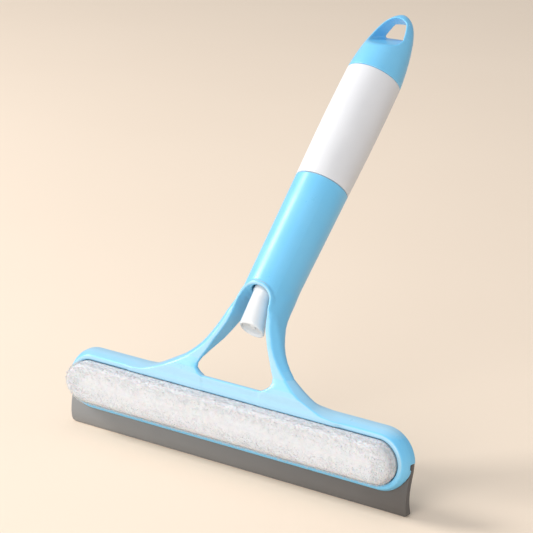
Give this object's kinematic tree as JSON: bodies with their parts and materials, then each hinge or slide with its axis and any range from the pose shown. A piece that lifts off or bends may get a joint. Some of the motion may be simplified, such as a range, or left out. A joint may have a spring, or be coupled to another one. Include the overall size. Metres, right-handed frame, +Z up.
{
  "type": "window squeegee with spray bottle handle",
  "caption": "Window squeegee with a rubber blade, a microfibre pad held on by hook tape, and a leaning handle that holds a screw-in spray bottle, its pump and nozzle, and a looped end cap.",
  "frame": {"origin": "middle of the rubber blade's lower edge, on which the squeegee stands", "axes": "+X along the blade, -Y out of the pad's face towards the window, +Z up; the handle leans back towards +Y and +Z"},
  "size_m": [0.2562, 0.1808, 0.2616],
  "materials": {
    "blue_moulding": "satin",
    "grey_rubber": "satin",
    "white_plastic": "satin",
    "milky_bottle": "translucent satin",
    "clear_tube": "clear",
    "microfibre": "fluffy",
    "hook_tape": "matt",
    "pad_foam": "matt",
    "steel": "satin",
    "seal_rubber": "matt"
  },
  "bodies": {
    "frame": {"main_frame": "blue_moulding", "rubber_blade": "grey_rubber", "blade_clamp": "blue_moulding", "clamp_screw_1": "steel", "clamp_screw_2": "steel", "clamp_screw_3": "steel", "clamp_screw_4": "steel", "clamp_screw_5": "steel", "hook_strip": "hook_tape", "pump_collar": "white_plastic", "pump_retainer": "white_plastic", "pump_housing": "white_plastic", "return_spring": "steel", "dip_tube": "clear_tube"},
    "plunger": {"nozzle_head": "white_plastic", "nozzle_insert": "white_plastic", "pump_stem": "white_plastic", "pump_piston": "seal_rubber"},
    "gasket_ring": {"neck_gasket": "seal_rubber"},
    "bottle_body": {"bottle": "milky_bottle", "end_cap": "blue_moulding"},
    "valve_ball": {"check_ball": "steel"},
    "pad": {"pad_backing": "pad_foam", "microfibre_pad": "microfibre"}
  },
  "joints": [
    {"name": "pump_press", "type": "slide", "parent": "frame", "child": "plunger", "axis": [0, 0.6613, 0.7501], "range_m": [0, 0.005], "stiffness_N_per_m": 400, "springref_m": -0.004, "deforming": ["return_spring"]},
    {"name": "bottle_lift", "type": "slide", "parent": "frame", "child": "gasket_ring", "axis": [0, 0.6613, 0.7501], "range_m": [0, 0.006]},
    {"name": "bottle_unscrew", "type": "hinge", "parent": "gasket_ring", "child": "bottle_body", "pos_m": [0, 0.08414, 0.16752], "axis": [0, 0.6613, 0.7501], "range_deg": [0, 720]},
    {"name": "valve_lift", "type": "slide", "parent": "frame", "child": "valve_ball", "axis": [0, -0.6613, -0.7501], "range_m": [0, 0.0008]},
    {"name": "pad_pull", "type": "slide", "parent": "frame", "child": "pad", "axis": [0, -1, 0], "range_m": [0, 0.03]}
  ],
  "couplings": [
    {"joint": "bottle_lift", "follows": "bottle_unscrew", "m_per_rad": 0.00047746}
  ]
}
